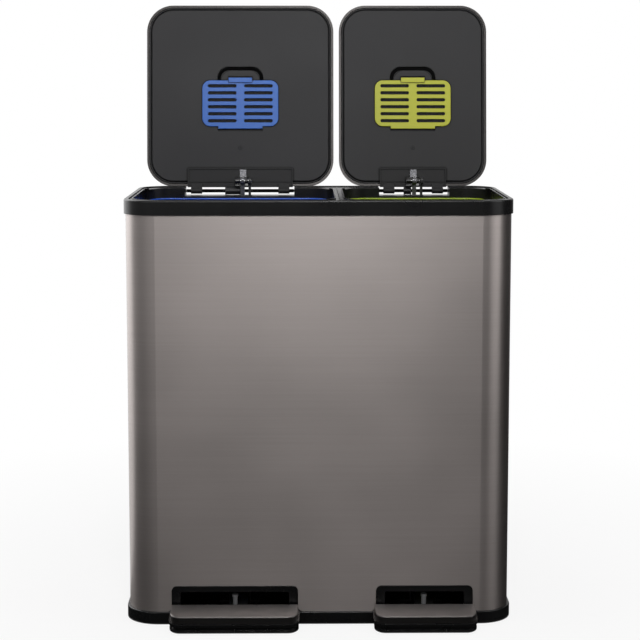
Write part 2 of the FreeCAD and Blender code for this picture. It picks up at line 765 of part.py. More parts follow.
def pedal_axle(side):
    half = f"({EAR_INSIDE} + LeverSheet + PinPlay)"
    head = ("AxleHeadRadius", "AxleHead")
    body = headed_pin(f"{side.name}_pedal_axle", half, "AxleRadius", *head)
    place(body, side.middle, PIVOT_Y, "PivotHeight")


def bracket_screws():
    screws = []
    for side in SIDES:
        for x, y in bracket_screw_places(side):
            head = cylinder("ScrewHeadRadius", "ScrewHead", x, y, f"{FLOOR_TOP} + LeverSheet")
            length = "FloorThickness + LeverSheet + Bite"
            shank = cylinder("ScrewRadius", length, x, y, "FloorBottom")
            screw = doc.addObject("Part::MultiFuse", "Screw")
            screw.Shapes = [head, shank]
            screws.append(screw)
    group("bracket_screws", screws)


# ---------------------------------------------------------------- pedal and push rod


def on_pedal(body, side):
    """Sets a pedal piece, drawn level about its axle, to the pressed pose."""
    place(body, side.middle, PIVOT_Y, "PivotHeight", angle="PedalTravel")


def pedal_outline(sketch, side, grow="0"):
    width = f"({side.pedal} + 2 * ({grow}))"
    depth = f"(PedalFront - PedalRear + ({grow}))"
    middle = f"(-PedalFront - ({grow}) + {depth} / 2)"
    shift = f"(0 - {side.shift})"
    rounded(sketch, width, depth, f"(PedalCorner + ({grow}))", shift, middle, front_only=True)


def pedal_carrier(side):
    body = new_body(f"{side.name}_pedal_carrier")
    core = f"({PEDAL_TOP} - TreadWall - PedalFit)"
    lip_top = f"({PEDAL_TOP} - TreadHeight - PedalFit)"
    layers = [(PEDAL_BOTTOM, core, "-TreadWall - Past")]
    layers.append((f"{lip_top} - CarrierLipHeight", lip_top, "CarrierLip"))
    layers.append((PEDAL_BOTTOM, f"{PEDAL_BOTTOM} + CarrierFootHeight", "CarrierFoot"))
    for low, high, grow in layers:
        sketch = new_sketch(body, "XY_Plane", low)
        pedal_outline(sketch, side, grow)
        pad(body, sketch, f"{high} - ({low})")
    # slot for the lever's flat front end
    z = (f"{LEVER_TOP} - LeverSheet - PedalFit", f"{LEVER_TOP} + PedalFit")
    half = "(LeverWidth / 2 + 2 * PedalFit)"
    y = ("LeverNose - 2 * Past - PedalFront", "Past - PedalRear")
    cut_block(body, (f"-{half}", half), y, z)
    on_pedal(body, side)


def pedal_tread(side):
    body = new_body(f"{side.name}_pedal_tread")
    foot = f"({PEDAL_TOP} - TreadHeight)"
    sketch = new_sketch(body, "XY_Plane", foot)
    pedal_outline(sketch, side)
    pad(body, sketch, "TreadHeight")
    top = number(PEDAL_TOP)
    round_edges(body, "TreadEdge", lambda edge: at_height(edge, top))
    sketch = new_sketch(body, "XY_Plane", f"{foot} - Past")
    pedal_outline(sketch, side, "-TreadWall")
    pocket(body, sketch, "TreadHeight - TreadWall + Past", backwards=True)
    on_pedal(body, side)


def pedal_sole(side):
    """The rubber strip that meets the floor."""
    body = new_body(f"{side.name}_pedal_sole")
    reach = f"({side.pedal} / 2 - PedalCorner)"
    x = (f"-{side.shift} - {reach}", f"{reach} - {side.shift}")
    y = ("SoleFront - PedalFront", "SoleFront + SoleDepth - PedalFront")
    block(body, x, y, (f"{PEDAL_BOTTOM} - SoleThickness", PEDAL_BOTTOM))
    on_pedal(body, side)


def pedal_lever(side):
    """A folded channel of sheet steel, from the pedal over the axle to the rod."""
    body = new_body(f"{side.name}_pedal_lever")
    rod_y = "(RodArm * cos(PedalTravel / 2 * 1 deg))"
    rod_z = "(0 - RodArm * sin(PedalTravel / 2 * 1 deg))"
    front = "(0 - PedalRear)"
    web = f"({LEVER_TOP} - LeverSheet)"
    end = f"({rod_y} + LeverEnd)"
    outline = [(front, web), (f"{front} + LeverNose", f"{LEVER_TOP} - 2 * LeverSheet")]
    outline += [("0", "-LeverWaist"), ("LeverBend", "-LeverWaist")]
    outline += [(end, f"{rod_z} - LeverEndDrop"), (end, f"{rod_z} + LeverEndRise")]
    outline += [("LeverNose", LEVER_TOP), (front, LEVER_TOP)]
    sketch = new_sketch(body, "YZ_Plane")
    polygon(sketch, outline)
    pad(body, sketch, "LeverWidth", both=True)
    sketch = new_sketch(body, "YZ_Plane")
    past = f"({end} + 2 * Past)"
    below = "2 * LeverEnd"
    inside = [(f"{front} - Past", f"-{below}"), (past, f"{rod_z} - {below}")]
    inside += [(past, f"{rod_z} + LeverEndRise - 1.1 * LeverSheet"), ("LeverNose", web)]
    inside += [(f"{front} - Past", web)]
    polygon(sketch, inside)
    pocket(body, sketch, "LeverWidth - 2 * LeverSheet", both=True)
    nose = ("LeverNose - PedalFront", front)
    block(body, ("-LeverWidth / 2", "LeverWidth / 2"), nose, (web, LEVER_TOP))
    sketch = new_sketch(body, "YZ_Plane")
    circle(sketch, "0", "0", "AxleRadius + RunningFit")
    circle(sketch, rod_y, rod_z, "RodPinRadius + FixedFit")
    pocket(body, sketch, "2 * LeverWidth", both=True)
    # the web is open over the rod, so that the rod can stand up through it
    x = ("-LeverWidth / 2 + LeverSheet", "LeverWidth / 2 - LeverSheet")
    y = (f"{rod_y} - LeverEnd - 2 * Past", f"{rod_y} + LeverEnd + 2 * Past")
    cut_block(body, x, y, (f"{rod_z} - LeverEnd", f"{rod_z} + LeverBend"))
    on_pedal(body, side)


def pedal_stud(side):
    """The round-headed buffer on the lever, seen through the window in the base."""
    body = new_body(f"{side.name}_pedal_stud")
    top = f"({LEVER_TOP} + StudHeight)"
    neck = f"({top} - StudHead)"
    profile = [(LEVER_TOP, "0"), (top, "0"), (top, "StudHeadRadius - Bite")]
    profile += [(f"{top} - Bite", "StudHeadRadius"), (neck, "StudHeadRadius")]
    profile += [(neck, "StudRadius"), (LEVER_TOP, "StudRadius")]
    revolve(body, profile)
    # turned so that the revolved axis stands on the lever, then pressed with the pedal
    upright = Rotation(Vector(0, 1, 0), -90)
    pressed = Rotation(Vector(1, 0, 0), number("PedalTravel"))
    offset = pressed.multVec(Vector(number(f"-{side.shift}"), number("-StudFromAxle"), 0))
    base = Vector(number(side.middle), number(PIVOT_Y), number("PivotHeight")) + offset
    body.Placement = Placement(base, pressed * upright)


def rod_pin(side):
    half = "(LeverWidth / 2 + PinPlay)"
    head = ("RodPinHeadRadius", "RodPinHead")
    body = headed_pin(f"{side.name}_rod_pin", half, "RodPinRadius", *head)
    place(body, side.middle, ROD_Y, ROD_FOOT_Z)


def rod_head(sketch, hole_only=False):
    """The rod's head, or its slot, seen along X, drawn about the rod's lower eye."""
    line = f"({PIN_Y} - {ROD_Y})"
    front = f"({line} - {SLOT_FRONT})"
    back = f"({line} - {SLOT_BACK})"
    play = "(LeverPinRadius + RodSlotPlay)"
    wall = "0" if hole_only else "RodHeadWall"
    width = f"({back} - {front} + 2 * {wall})"
    height = f"(2 * ({play} + {wall}))"
    radius = "(1.2 * LeverPinRadius)" if hole_only else "(1.8 * LeverPinRadius)"
    rounded(sketch, width, height, radius, f"({back} + {front}) / 2", ROD_LENGTH)


def push_rod(side):
    body = new_body(f"{side.name}_push_rod")
    half_y = "RodThickness / 2"
    x = ("-RodWidth / 2", "RodWidth / 2")
    block(body, x, (f"-{half_y}", half_y), ("RodFoot", f"{ROD_LENGTH} - HookThickness"))
    sketch = new_sketch(body, "YZ_Plane")
    circle(sketch, "0", "0", "RodEye")
    pad(body, sketch, "LeverWidth - 2 * LeverSheet - Past", both=True)
    sketch = new_sketch(body, "YZ_Plane")
    rod_head(sketch)
    pad(body, sketch, "RodWidth", both=True)
    sketch = new_sketch(body, "YZ_Plane")
    rod_head(sketch, hole_only=True)
    pocket(body, sketch, "RodWidth + 2 * Past", both=True)
    sketch = new_sketch(body, "YZ_Plane")
    circle(sketch, "0", "0", "RodPinRadius + RunningFit")
    pocket(body, sketch, "LeverWidth", both=True)
    place(body, side.middle, ROD_Y, ROD_FOOT_Z)


HOOK_NEAR = "(RodWidth / 2 + HookGap)"
HOOK_MIDDLE = f"({HOOK_NEAR} + HookThickness / 2)"


def rod_hook(side):
    """The hooked strap beside the rod, which keeps the rod's head on the lever's pin."""
    body = new_body(f"{side.name}_rod_hook")
    sketch = new_sketch(body, "YZ_Plane", HOOK_MIDDLE)
    rod_head(sketch)
    pad(body, sketch, "HookThickness", both=True)
    low = f"({ROD_LENGTH} - HookLength)"
    y = ("-HookWidth / 2", "HookWidth / 2")
    strap = (HOOK_NEAR, f"{HOOK_NEAR} + HookThickness")
    block(body, strap, y, (low, f"{ROD_LENGTH} - HookThickness"))
    block(body, ("RodWidth / 2", HOOK_MIDDLE), y, (low, f"{low} + HookThickness"))
    sketch = new_sketch(body, "YZ_Plane", HOOK_MIDDLE)
    rod_head(sketch, hole_only=True)
    pocket(body, sketch, "HookThickness + 2 * Past", both=True)
    place(body, side.middle, ROD_Y, ROD_FOOT_Z)


# ---------------------------------------------------------------- hinge and lid


def hinge_pin(side):
    body = new_body(f"{side.name}_hinge_pin")
    half = f"({side.notch} / 2 + PinHold - Bite)"
    profile = [(f"-{half}", "0"), (half, "0"), (half, "0.8 * PinRadius")]
    profile += [(f"{half} - 0.2 * PinRadius", "PinRadius"), (f"0.2 * PinRadius - {half}", "PinRadius")]
    profile += [(f"-{half}", "0.8 * PinRadius")]
    revolve(body, profile)
    place(body, side.centre, PIN_Y, PIN_Z)


def damper_drum(side):
    """The rotary damper round the hinge pin, left of the lever, on the notch's floor."""
    body = new_body(f"{side.name}_damper_drum")
    end = "(0 - RodWidth / 2 - RodSideGap)"
    start = f"({end} - {side.damper})"
    bore = "(PinRadius + RunningFit)"
    waist = "(DamperRadius - DamperWaist)"
    rim = "DamperRim"
    profile = [(start, bore), (end, bore), (end, "DamperRadius"), (f"{end} - {rim}", "DamperRadius")]
    profile += [(f"{end} - {rim}", waist), (f"{start} + {rim}", waist)]
    profile += [(f"{start} + {rim}", "DamperRadius"), (start, "DamperRadius")]
    revolve(body, profile)
    place(body, side.middle, PIN_Y, PIN_Z)


def on_lid(body, side, x=None):
    """Sets a lid piece, drawn closed about the hinge pin, to the open pose."""
    place(body, x or side.centre, PIN_Y, PIN_Z, angle="0 - LidOpenAngle")


def lid_outline(side, shrink="0"):
    width = f"({side.lid_width} - 2 * ({shrink}))"
    depth = f"({LID_DEPTH} - 2 * ({shrink}))"
    return (width, depth, f"(LidCorner - ({shrink}))", "0", LID_MIDDLE)


def lid_shell(side):
    """The brushed steel lid: a pan with its edge hemmed inwards underneath."""
    body = new_body(f"{side.name}_lid_shell")
    slab(body, LID_BOTTOM, "LidHeight", lid_outline(side))
    sink(body, f"{LID_BOTTOM} - Past", "HemThickness + 2 * Past", lid_outline(side, "HemWidth"))
    inner = "LidHeight - HemThickness - LidWall"
    sink(body, f"{LID_BOTTOM} + HemThickness", inner, lid_outline(side, "LidWall"))
    under = number(f"{LID_TOP} - LidWall")
    round_edges(body, "LidEdgeRound - LidWall", lambda edge: at_height(edge, under))
    top = number(LID_TOP)
    round_edges(body, "LidEdgeRound", lambda edge: at_height(edge, top))
    on_lid(body, side)


def grille_outline(grow="0"):
    width = f"(GrilleWidth + 2 * ({grow}))"
    depth = f"(GrilleDepth + 2 * ({grow}))"
    return (width, depth, f"(GrilleCorner + {grow})", "0", "0 - GrilleFromPin")


GRILLE_BACK = "(GrilleDepth / 2 - GrilleFromPin)"
GRILLE_FRONT = "(0 - GrilleDepth / 2 - GrilleFromPin)"
GRILLE_FACE = f"({PANEL} - GrilleProud)"
SLOT_ROW = "(0 - GrilleFromPin - 2.5 * SlotPitch)"


def lid_liner(side):
    """The moulded panel inside the lid, with the box that holds the odour filter."""
    body = new_body(f"{side.name}_lid_liner")
    fit = "(LidWall + MouldedGap)"
    slab(body, GROOVE, "LinerPlate", lid_outline(side, fit))
    leg_foot = f"({LID_BOTTOM} + HemThickness + PedalFit)"
    leg = (lid_outline(side, fit), lid_outline(side, f"{fit} + LinerLeg"))
    slab(body, leg_foot, f"{GROOVE} + Bite - {leg_foot}", *leg)
    slab(body, PANEL, f"{GROOVE} + Bite - {PANEL}", lid_outline(side, "HemWidth + GrooveWidth"))
    face = number(PANEL)
    round_edges(body, "PanelSlope", lambda edge: at_height(edge, face), "Chamfer")
    box = "(LinerPlate + FilterBox)"
    slab(body, f"{GROOVE} + Bite", f"{box} - Bite", grille_outline("1"))
    # the filter's cavity, then the shallow seat of its grille
    cut_from = f"{PANEL} - Past"
    cavity = f"GrooveDepth + {box} - Bite"
    sink(body, cut_from, cavity, grille_outline("-CavityInset"))
    sink(body, cut_from, "Past + GrilleSeat", grille_outline("GrilleGap"))
    tab = "(HingeTabWidth / 2 + GrilleGap)"
    slot = (f"{GRILLE_BACK} - Past", f"{GRILLE_BACK} + HingeTabReach + GrooveDepth")
    cut_block(body, (f"-{tab}", tab), slot, (cut_from, f"{PANEL} + GrooveDepth + Bite"))
    tab = "(LatchWidth / 2 + GrilleGap)"
    slot = (f"{GRILLE_FRONT} - LatchFront - GrilleThickness", f"{GRILLE_FRONT} + Past")
    cut_block(body, (f"-{tab}", tab), slot, (cut_from, f"{PANEL} + GrilleSeat"))
    # the arched finger groove over the latch
    sketch = new_sketch(body, "XY_Plane", cut_from)
    arches = (("ArchWidth", "ArchRise"), ("ArchInnerWidth", "ArchInnerRise"))
    for width, rise in arches:
        depth = f"({rise} + 4 * Past)"
        middle = f"({GRILLE_FRONT} + 4 * Past - {depth} / 2)"
        rounded(sketch, width, depth, "ArchCorner", "0", middle, True)
    pocket(body, sketch, "ArchDepth + Past", backwards=True)
    on_lid(body, side)


def filter_grille(side):
    body = new_body(f"{side.name}_filter_grille")
    slab(body, GRILLE_FACE, "GrilleThickness", grille_outline())
    back = (f"{GRILLE_BACK} - Past", f"{GRILLE_BACK} + HingeTabReach")
    x = ("-HingeTabWidth / 2", "HingeTabWidth / 2")
    block(body, x, back, (GRILLE_FACE, f"{GRILLE_FACE} + GrilleThickness"))
    # twelve slots in two columns
    for column in ("-", "+"):
        slot = ("SlotWidth", "SlotHeight", "0.48 * SlotHeight", f"0 {column} SlotFromMiddle")
        low = f"{GRILLE_FACE} - Past"
        first = sink(body, low, "GrilleThickness + 2 * Past", (*slot, SLOT_ROW))
        rows = body.newObject("PartDesign::LinearPattern", "Rows")
        rows.Originals = [first]
        rows.Direction = (first.Profile[0], ["V_Axis"])
        rows.Occurrences = 6
        bind(rows, "Length", "5 * SlotPitch")
        body.Tip = rows
        doc.recompute([rows])
    lower = number(GRILLE_FACE)
    corner = number("GrilleCorner / 2")
    slot_length = number("SlotWidth")

    def is_outline(edge):
        box = edge.BoundBox
        straight = box.XLength > slot_length or box.YLength > corner
        arc = edge.Curve.TypeId == "Part::GeomCircle" and edge.Curve.Radius > corner
        return at_height(edge, lower) and (straight or arc)

    round_edges(body, "GrilleEdge", is_outline)
    # the raised latch bar
    latch = (f"{GRILLE_FRONT} - LatchFront", f"{GRILLE_FRONT} + LatchRear")
    z = (f"{GRILLE_FACE} - LatchProud", f"{GRILLE_FACE} + LatchDepth")
    block(body, ("-LatchWidth / 2", "LatchWidth / 2"), latch, z)
    top = number(z[0])
    round_edges(body, "LatchEdge", lambda edge: at_height(edge, top))
    on_lid(body, side)


def filter_pad(side):
    body = new_body(f"{side.name}_filter_pad")
    slab(body, f"{PANEL} + PadDepth", "FilterThickness", grille_outline("-PadInset"))
    on_lid(body, side)


def hinge_plate(side):
    """The moulded leaf under the lid's rear edge, with its two knuckles."""
    body = new_body(f"{side.name}_hinge_plate")
    half = f"({side.notch} / 2 - LeafSideGap)"
    x = (f"-{half}", half)
    y = ("0 - LeafReach", "0 - LeafEnd")
    block(body, x, y, (LEAF_FACE, PANEL))
    # a low rib round three sides, and the groove of the fold
    rib = (f"{LEAF_FACE} - LeafRib", f"{LEAF_FACE} + Bite")
    block(body, x, (y[0], f"{y[0]} + LeafRibWidth"), rib)
    for sign in ("-", "+"):
        outer = f"0 {sign} {half}"
        inner = f"0 {sign} ({half} - LeafRibWidth)"
        span = (outer, inner) if sign == "-" else (inner, outer)
        block(body, span, y, rib)
    fold = (f"LeafRibWidth - {half}", f"{half} - LeafRibWidth")
    groove = (f"{LEAF_FACE} - Past", f"{LEAF_FACE} + FoldDepth")
    cut_block(body, fold, ("-FoldFront", "-FoldRear"), groove)
    for sign in ("-", "+"):
        middle = f"(0 {sign} ({side.notch} / 2 - KnuckleGap - KnuckleWidth / 2))"
        sketch = new_sketch(body, "YZ_Plane", middle)
        top = f"{LEAF_FACE} + 0.1 * LeafThickness"
        web = [("-WebFront", top), ("-WebFootFront", "-WebFootDrop"), ("0", "-WebFootDrop")]
        web += [("0", "WebRise"), ("-LeafEnd", top)]
        polygon(sketch, web)
        pad(body, sketch, "KnuckleWidth", both=True)
        sketch = new_sketch(body, "YZ_Plane", middle)
        circle(sketch, "0", "0", "KnuckleRadius")
        pad(body, sketch, "KnuckleWidth", both=True)
    sketch = new_sketch(body, "YZ_Plane")
    circle(sketch, "0", "0", "PinRadius + RunningFit")
    pocket(body, sketch, side.notch, both=True)
    on_lid(body, side)


def lid_tab(side):
    """The grey metal tab that ties the lever to the leaf."""
    body = new_body(f"{side.name}_lid_tab")
    low = f"({LEAF_FACE} - TabThickness)"
    block(body, ("-TabWidth / 2", "TabWidth / 2"), ("-TabFront", "-TabRear"), (low, LEAF_FACE))
    half = "(TabWidth / 2 + Past)"
    band = ("-TabBandFront", "-TabBandRear")
    cut_block(body, (f"-{half}", half), band, (f"{low} - Past", f"{low} + TabBandDepth"))
    on_lid(body, side, side.middle)


def lift_lever(side):
    """The two-cheeked lever under the lid that the push rod lifts."""
    body = new_body(f"{side.name}_lift_lever")
    pin_y = "(0 - LeverRadius * cos(LeverClosedAngle * 1 deg))"
    pin_z = "(0 - LeverRadius * sin(LeverClosedAngle * 1 deg))"
    gap = "(RodWidth / 2 + RodSideGap)"
    x = (f"-{gap} - LeftCheek", f"{gap} + RightCheek")
    block(body, x, ("-LeverFront", "-LeverRear"), (f"{LEAF_FACE} - LeverPlate", LEAF_FACE))
    left = (f"(0 - {gap} - LeftCheek / 2)", "LeftCheek")
    right = (f"({gap} + RightCheek / 2)", "RightCheek")
    root = f"{LEAF_FACE} - LeverPlate / 3"
    for middle, thickness in (left, right):
        sketch = new_sketch(body, "YZ_Plane", middle)
        outline = [("-LeverFront", root), (f"{pin_y} - LeverEye", pin_z)]
        outline += [(f"{pin_y} + LeverEye", pin_z), ("-LeverRear", root)]
        polygon(sketch, outline)
        pad(body, sketch, thickness, both=True)
        sketch = new_sketch(body, "YZ_Plane", middle)
        circle(sketch, pin_y, pin_z, "LeverEye")
        pad(body, sketch, thickness, both=True)
    sketch = new_sketch(body, "YZ_Plane")
    circle(sketch, pin_y, pin_z, "LeverPinRadius + FixedFit")
    pocket(body, sketch, "2 * (LeftCheek + RightCheek + RodWidth)", both=True)
    on_lid(body, side, side.middle)


def lever_pin(side):
    """The cross pin that runs in the slots of the rod's head and of its hook."""
    body = new_body(f"{side.name}_lever_pin")
    near = "(Past - RodWidth / 2 - RodSideGap - LeftCheek)"
    far = f"({HOOK_NEAR} + HookThickness + Bite)"
    profile = [(near, "0"), (far, "0"), (far, "LeverPinRadius"), (near, "LeverPinRadius")]
    revolve(body, profile)
    x = side.middle
    y = f"{PIN_Y} - LeverRadius * cos({LEVER_OPEN} * 1 deg)"
    z = f"{PIN_Z} + LeverRadius * sin({LEVER_OPEN} * 1 deg)"
    place(body, x, y, z)


# ---------------------------------------------------------------- buckets


def bucket(side):
    """The lift-out bucket, hung by its rim on the collar's ledge."""
    body = new_body(f"{side.name}_bucket")
    width = f"({side.opening} - 2 * (LedgeWidth + WallPlay))"
    depth = f"({OPENING_DEPTH} - 2 * (LedgeWidth + WallPlay))"
    corner = f"({OPENING_CORNER} - LedgeWidth - WallPlay)"
    height = f"({LEDGE_TOP} - BucketFoot)"

    def loft(kind, wall, low):
        sections = []
        for level, taper in ((low, "BucketTaper"), (f"{height} + 2 * Past", "0")):
            sketch = new_sketch(body, "XY_Plane", level)
            shrink = f"2 * ({taper} + {wall})"
            radius = f"{corner} - {wall}"
            rounded(sketch, f"({width} - {shrink})", f"({depth} - {shrink})", f"({radius})")
            sections.append(sketch)
        feature = body.newObject("PartDesign::" + kind, kind)
        feature.Profile = sections[0]
        feature.Sections = [(sections[1], [""])]
        feature.Ruled = True
        body.Tip = feature
        doc.recompute([*sections, feature])

    loft("AdditiveLoft", "0", "0")
    rim = "(LedgeWidth + WallPlay - RimPlay)"
    outer = (f"({width} + 2 * {rim})", f"({depth} + 2 * {rim})", f"({corner} + {rim})")
    slab(body, height, "RimThickness", outer)
    top = number(f"{height} + RimThickness")
    round_edges(body, "RimEdge", lambda edge: at_height(edge, top))
    loft("SubtractiveLoft", "BucketWall", "BucketFloor")
    mouth = (f"({width} - 2 * BucketWall)", f"({depth} - 2 * BucketWall)")
    sink(body, f"{height} + Past", "RimThickness", (*mouth, f"({corner} - BucketWall)"))
    place(body, side.centre, OPENING_MIDDLE, "BucketFoot")


# ---------------------------------------------------------------- build and write

outer_shell()
top_collar()
base_tray()
rubber_feet()
bracket_screws()
PIECES = (
    pedal_bracket,
    pedal_axle,
    pedal_carrier,
    pedal_tread,
    pedal_sole,
    pedal_lever,
    pedal_stud,
    rod_pin,
    push_rod,
    rod_hook,
    hinge_pin,
    damper_drum,
    lid_shell,
    lid_liner,
    filter_grille,
    filter_pad,
    hinge_plate,
    lid_tab,
    lift_lever,
    lever_pin,
    bucket,
)
for compartment in SIDES:
    for make in PIECES:
        make(compartment)
doc.recompute()

for item in doc.Objects:
    if "Invalid" in item.State or "Error" in item.State:
        raise RuntimeError(f"{item.Name} ({item.Label}) failed: {item.State}")
os.makedirs("parts", exist_ok=True)
for node in nodes:
    if node.Shape.isNull() or not node.Shape.isValid():
        raise RuntimeError(f"{node.Label} has no valid shape")
    node.Shape.exportStep(f"parts/{node.Label}.step")
    box = node.Shape.BoundBox
    print(
        f"{node.Label}: {len(node.Shape.Solids)} solid(s), {node.Shape.Volume / 1000:.1f} cm3, "
        f"x {box.XMin:.1f}..{box.XMax:.1f}, y {box.YMin:.1f}..{box.YMax:.1f}, "
        f"z {box.ZMin:.1f}..{box.ZMax:.1f}"
    )
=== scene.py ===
"""A double recycling bin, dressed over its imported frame, on a pale studio floor."""
import json
import math

import bpy
from mathutils import Matrix, Vector


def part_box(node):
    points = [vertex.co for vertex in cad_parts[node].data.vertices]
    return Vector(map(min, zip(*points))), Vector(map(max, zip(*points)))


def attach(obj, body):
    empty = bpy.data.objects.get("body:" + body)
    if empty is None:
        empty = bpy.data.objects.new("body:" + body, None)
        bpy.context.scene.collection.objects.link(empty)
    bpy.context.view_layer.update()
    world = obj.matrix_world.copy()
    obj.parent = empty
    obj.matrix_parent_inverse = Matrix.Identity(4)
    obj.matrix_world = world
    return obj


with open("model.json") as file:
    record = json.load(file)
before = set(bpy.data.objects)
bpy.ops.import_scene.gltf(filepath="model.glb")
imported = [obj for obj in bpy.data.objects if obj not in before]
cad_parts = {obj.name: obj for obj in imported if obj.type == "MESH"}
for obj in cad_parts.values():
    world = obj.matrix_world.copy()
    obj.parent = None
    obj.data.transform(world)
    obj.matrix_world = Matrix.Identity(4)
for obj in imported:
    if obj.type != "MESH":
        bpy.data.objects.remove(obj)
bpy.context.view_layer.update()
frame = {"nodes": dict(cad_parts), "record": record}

SIDES = ("left", "right")
MM = 0.001
UP = Vector((0, 0, 1))
WHITE = (1, 1, 1, 1)

# the rest pose: how far the lids are open and the pedals pressed
OPEN = math.radians(97)
PRESSED = math.radians(9.5)

# a closed lid's outline, in millimetres from its hinge pin
LID_BACK = -8.0
LID_FRONT = -303.0
LID_CORNER = 43.0

# the added pieces, in millimetres; a rise is a height over the hinge pin in the closed lid
GATE_ALONG = -70.5
GATE_RISE = 7.0
GATE_PROFILE = [(3.4, -0.2), (3.0, 0.3), (2.2, 0.5), (1.4, 0.4), (0.9, -0.1), (0.1, -0.2)]
BEAD_INSET = 5.6
BEAD_RISE = 9.4
BEAD_RADIUS = 1.5
# the strip of painted shade laid in the lid's arched finger groove
ARCH_SHADE_FOOT = -180.5
ARCH_SHADE_RISE = 8.9
ARCH_SHADE_HALF = 34.5
ARCH_SHADE_LONG = 19.3
ARCH_SHADE_CORNER = 16.0
ARCH_SHADE_RADIUS = 2.7
ARCH_SHADE_FLAT = 0.25
SLEEVE_INSET = 8.5
SLEEVE_RADIUS = 2.7
LIP_INSET = 5.7
LIP_DROP = 0.2
LIP_CORNER = 31.8
LIP_RADIUS = 1.4

# the studio, in metres
FLOOR_REACH = 60.0
WALL_REACH = 2.1
WALL_HEIGHT = 2.8
CLOTH_HEIGHT = 0.003

# the way the front of a pressed pedal faces, and the underside of an open lid; steel that faces these ways
# gets painted shade
PEDAL_FRONT = (0, -math.cos(PRESSED), -math.sin(PRESSED))
TURN = Matrix.Rotation(-OPEN, 3, "X")
INWARD = TURN @ -UP


# ---------------------------------------------------------------- places in the frame


def centre(node):
    """The middle of a node's box, in metres."""
    low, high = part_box(node)
    return (low + high) / 2


def half_size(node):
    """Half the size of a node's box, in metres."""
    low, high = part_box(node)
    return (high - low) / 2


def opened(side, across, along, rise):
    """A point of an open lid, from its place in the closed lid in millimetres from the pin's middle."""
    return centre(f"{side}_hinge_pin") + TURN @ (Vector((across, along, rise)) * MM)


# ---------------------------------------------------------------- materials


SOCKETS = {
    "anisotropic": "Anisotropic",
    "turn": "Anisotropic Rotation",
    "specular": "Specular IOR Level",
}


def grey(level):
    """The neutral colour of one level."""
    return (level, level, level)


class Tree:
    """A node tree, with short calls that add nodes and link them."""

    def __init__(self, tree):
        self.tree = tree

    def feed(self, socket, value):
        """Links an output to a socket, or sets the socket to a plain value."""
        if isinstance(value, bpy.types.NodeSocket):
            self.tree.links.new(value, socket)
        else:
            socket.default_value = value

    def add(self, kind, settings=None, **inputs):
        """A new node; an underscore in an input's name stands for a space."""
        node = self.tree.nodes.new("ShaderNode" + kind)
        for key, value in (settings or {}).items():
            setattr(node, key, value)
        for key, value in inputs.items():
            self.feed(node.inputs[key.replace("_", " ")], value)
        return node

    def number(self, operation, first, second, clamp=False):
        """The result of a sum of two numbers."""
        node = self.add("Math", {"operation": operation, "use_clamp": clamp})
        self.feed(node.inputs[0], first)
        self.feed(node.inputs[1], second)
        return node.outputs[0]

    def vector(self, operation, first, second=None):
        """A vector sum's outputs, which are Vector and Value."""
        node = self.add("VectorMath", {"operation": operation})
        self.feed(node.inputs[0], first)
        if second is not None:
            self.feed(node.inputs[1], second)
        return node.outputs

    def ramp(self, value, stops):
        """Colours at places along a 0 to 1 value."""
        node = self.add("ValToRGB", Fac=value)
        band = node.color_ramp
        while len(band.elements) < len(stops):
            band.elements.new(0.5)
        for element, (place, colour) in zip(band.elements, stops):
            element.position = place
            element.color = (*colour, 1)
        return node.outputs["Color"]

    def spread(self, value, low, high, start=0.3, end=0.7, curve="LINEAR"):
        """Low to high, as the value goes from start to end."""
        limits = {"From_Min": start, "From_Max": end, "To_Min": low, "To_Max": high}
        return self.add("MapRange", {"interpolation_type": curve}, Value=value, **limits).outputs["Result"]

    def blend(self, factor, first, second, mode="MIX"):
        """Two colours blended by a factor."""
        node = self.add("Mix", {"data_type": "RGBA", "blend_type": mode})
        self.feed(node.inputs[0], factor)
        for socket, colour in ((node.inputs[6], first), (node.inputs[7], second)):
            self.feed(socket, (*colour, 1) if isinstance(colour, tuple) else colour)
        return node.outputs[2]

    def either(self, factor, first, second):
        """One shader at a factor of 0, and another at 1."""
        node = self.add("MixShader")
        for socket, value in zip(node.inputs, (factor, first, second)):
            self.feed(socket, value)
        return node.outputs[0]

    def seen(self):
        """1 where the surface is seen, mirrored or seen through glass, and 0 where it only lights."""
        path = self.add("LightPath").outputs
        mirrored = self.number("ADD", path["Is Camera Ray"], path["Is Glossy Ray"])
        return self.number("ADD", mirrored, path["Is Transmission Ray"], clamp=True)


